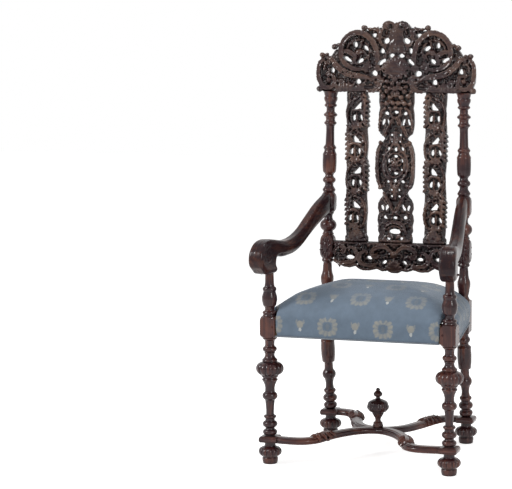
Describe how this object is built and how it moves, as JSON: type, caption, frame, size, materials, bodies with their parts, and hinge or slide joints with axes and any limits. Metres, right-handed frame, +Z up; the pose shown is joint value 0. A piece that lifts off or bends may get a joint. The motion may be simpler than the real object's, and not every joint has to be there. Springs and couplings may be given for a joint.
{
  "type": "carved open armchair",
  "caption": "Tall open armchair with turned posts, pierced carved back, down-swept scrolled arms, damask stuffed seat and moulded X stretcher with urn finial.",
  "frame": {"origin": "on the floor, at the middle of the chair's box seen from above", "axes": "+X to the right seen from the front, +Y from the front to the back, +Z up"},
  "size_m": [0.6392, 0.5783, 1.3228],
  "materials": {
    "turned_walnut": "dark polished walnut, worn to red-brown on the high parts",
    "carved_walnut": "dark carved walnut, drier and browner than the turnings",
    "frame_wood": "bare seat frame wood, hidden by the cover",
    "peg_wood": "dark riven pegs",
    "linen_web": "plain woven linen web",
    "hessian": "coarse hessian",
    "stuffing": "hair pad under a linen cloth",
    "damask": "dusty blue damask with a beige-gold medallion pattern",
    "braid": "narrow blue welt"
  },
  "bodies": {
    "root": {"front_post_left": "turned_walnut", "front_post_right": "turned_walnut", "rear_post_left": "turned_walnut", "rear_post_right": "turned_walnut", "foot_front_left": "turned_walnut", "foot_front_right": "turned_walnut", "foot_rear_left": "turned_walnut", "foot_rear_right": "turned_walnut", "finial": "turned_walnut", "arm_left": "carved_walnut", "arm_right": "carved_walnut", "stretcher_diagonal_lower": "carved_walnut", "stretcher_diagonal_upper": "carved_walnut", "crest_rail": "carved_walnut", "back_lower_rail": "carved_walnut", "splat_left": "carved_walnut", "splat_center": "carved_walnut", "splat_right": "carved_walnut", "seat_rail_front": "frame_wood", "seat_rail_rear": "frame_wood", "seat_rail_left": "frame_wood", "seat_rail_right": "frame_wood", "corner_block_front_left": "frame_wood", "corner_block_front_right": "frame_wood", "corner_block_rear_left": "frame_wood", "corner_block_rear_right": "frame_wood", "seat_rail_pegs": "peg_wood", "back_rail_pegs": "peg_wood", "crest_pegs": "peg_wood", "arm_pegs": "peg_wood", "webbing_lengthwise": "linen_web", "webbing_crosswise": "linen_web", "base_cloth": "hessian", "seat_stuffing": "stuffing", "seat_cover": "damask", "seat_welt": "braid"}
  },
  "joints": []
}
